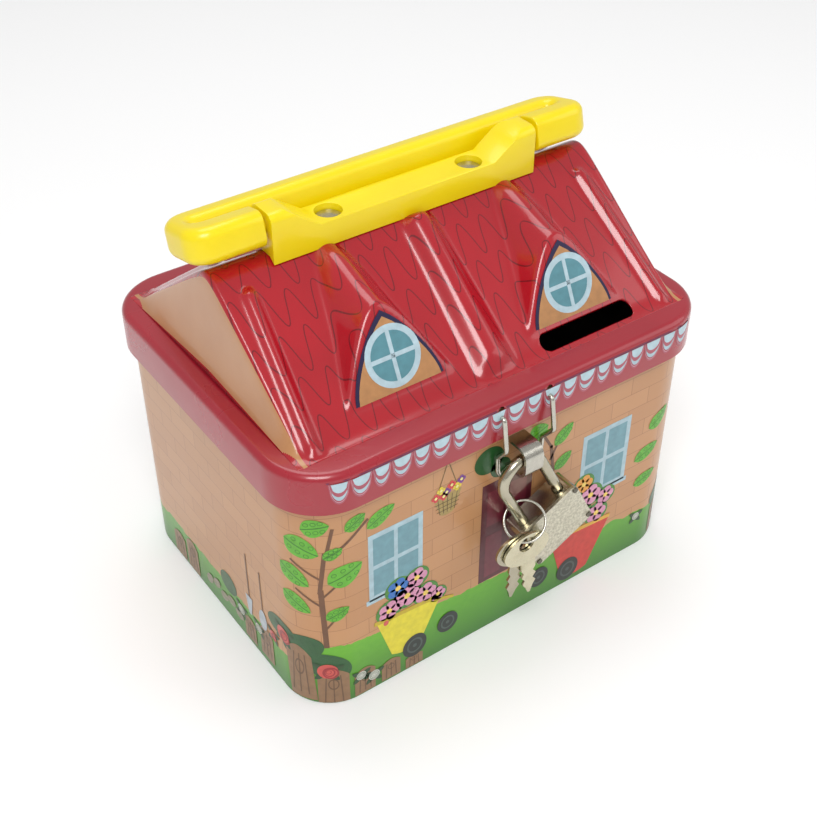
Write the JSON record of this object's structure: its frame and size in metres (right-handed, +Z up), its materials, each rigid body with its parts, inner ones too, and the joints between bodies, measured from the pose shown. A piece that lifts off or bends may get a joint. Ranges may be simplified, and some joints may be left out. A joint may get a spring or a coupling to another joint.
{
  "type": "tin money box",
  "caption": "Small house-shaped tin money box with a hinged roof lid, coin slot, carrying handle, wire hasp, staple and an open padlock with keys.",
  "frame": {"origin": "on the floor under the middle of the box body", "axes": "+X along the ridge to the coin-slot side, -Y towards the padlock, +Z up"},
  "size_m": [0.13, 0.1102, 0.1218],
  "materials": {
    "printed_wall": "gloss varnish over a printed brick and garden pattern",
    "printed_roof": "gloss varnish over a printed shingle pattern",
    "bare_tin": "plain tinplate",
    "bright_steel": "bright plated",
    "nickel": "bright nickel plate",
    "brass": "machined",
    "yellow_plastic": "glossy moulded"
  },
  "bodies": {
    "box": {"body_wall": "printed_wall", "bottom_plate": "bare_tin", "staple": "bright_steel", "hinge_leaf_body": "bare_tin", "hinge_pin": "bright_steel"},
    "lid": {"lid_shell": "printed_roof", "hinge_leaf_lid": "bare_tin", "handle_bracket": "yellow_plastic", "handle_rivets": "bright_steel"},
    "handle": {"handle_bail": "yellow_plastic"},
    "hasp": {"hasp_wire": "bright_steel"},
    "lock_bow": {"shackle": "nickel"},
    "clip": {"heel_clip": "bright_steel"},
    "lock_case": {"lock_front_plate": "nickel", "lock_back_plate": "nickel", "lock_core": "nickel", "lock_rivets": "nickel", "shackle_spring": "bright_steel", "latch_spring": "bright_steel"},
    "plug": {"lock_plug": "brass"},
    "latch": {"latch_bolt": "brass"},
    "ring": {"key_ring": "bright_steel"},
    "first_key": {"key_1": "nickel"},
    "second_key": {"key_2": "nickel"}
  },
  "joints": [
    {"name": "lid_hinge", "type": "hinge", "parent": "box", "child": "lid", "pos_m": [0, 0.04918, 0.067], "axis": [-1, 0, 0], "range_deg": [0, 105]},
    {"name": "handle_pivot", "type": "hinge", "parent": "lid", "child": "handle", "pos_m": [-0.002, 0, 0.1169], "axis": [1, 0, 0], "range_deg": [0, 208]},
    {"name": "hasp_swing", "type": "hinge", "parent": "lid", "child": "hasp", "pos_m": [0, -0.0486, 0.076], "axis": [-1, 0, 0], "range_deg": [0, 60]},
    {"name": "lock_off", "type": "slide", "parent": "box", "child": "lock_bow", "axis": [0, -1, 0], "range_m": [0, 0.055]},
    {"name": "case_turn", "type": "hinge", "parent": "lock_bow", "child": "clip", "pos_m": [-0.00121, -0.053, 0.04099], "axis": [0.454, 0, -0.891], "range_deg": [0, 30]},
    {"name": "case_close", "type": "slide", "parent": "clip", "child": "lock_case", "axis": [-0.454, 0, 0.891], "range_m": [0, 0.005]},
    {"name": "plug_turn", "type": "hinge", "parent": "lock_case", "child": "plug", "pos_m": [0.00578, -0.053, 0.04455], "axis": [0.454, 0, -0.891], "range_deg": [0, 90]},
    {"name": "latch_slide", "type": "slide", "parent": "lock_case", "child": "latch", "axis": [0.891, 0, 0.454], "range_m": [0, 0.0008]},
    {"name": "ring_swing", "type": "hinge", "parent": "lock_case", "child": "ring", "pos_m": [-0.00383, -0.051, 0.04613], "axis": [-0.891, 0, -0.454], "range_deg": [0, 25]},
    {"name": "first_key_swing", "type": "hinge", "parent": "ring", "child": "first_key", "pos_m": [-0.00414, -0.05831, 0.03909], "axis": [-0.0349, -0.9994, 0], "range_deg": [-10, 2]},
    {"name": "second_key_swing", "type": "hinge", "parent": "ring", "child": "second_key", "pos_m": [-0.0055, -0.05733, 0.03932], "axis": [-0.0349, -0.9994, 0], "range_deg": [-10, 10]}
  ],
  "couplings": [
    {"joint": "hasp_swing", "follows": "lock_off", "rad_per_m": 19},
    {"joint": "latch_slide", "follows": "plug_turn", "m_per_rad": 0.000509}
  ]
}
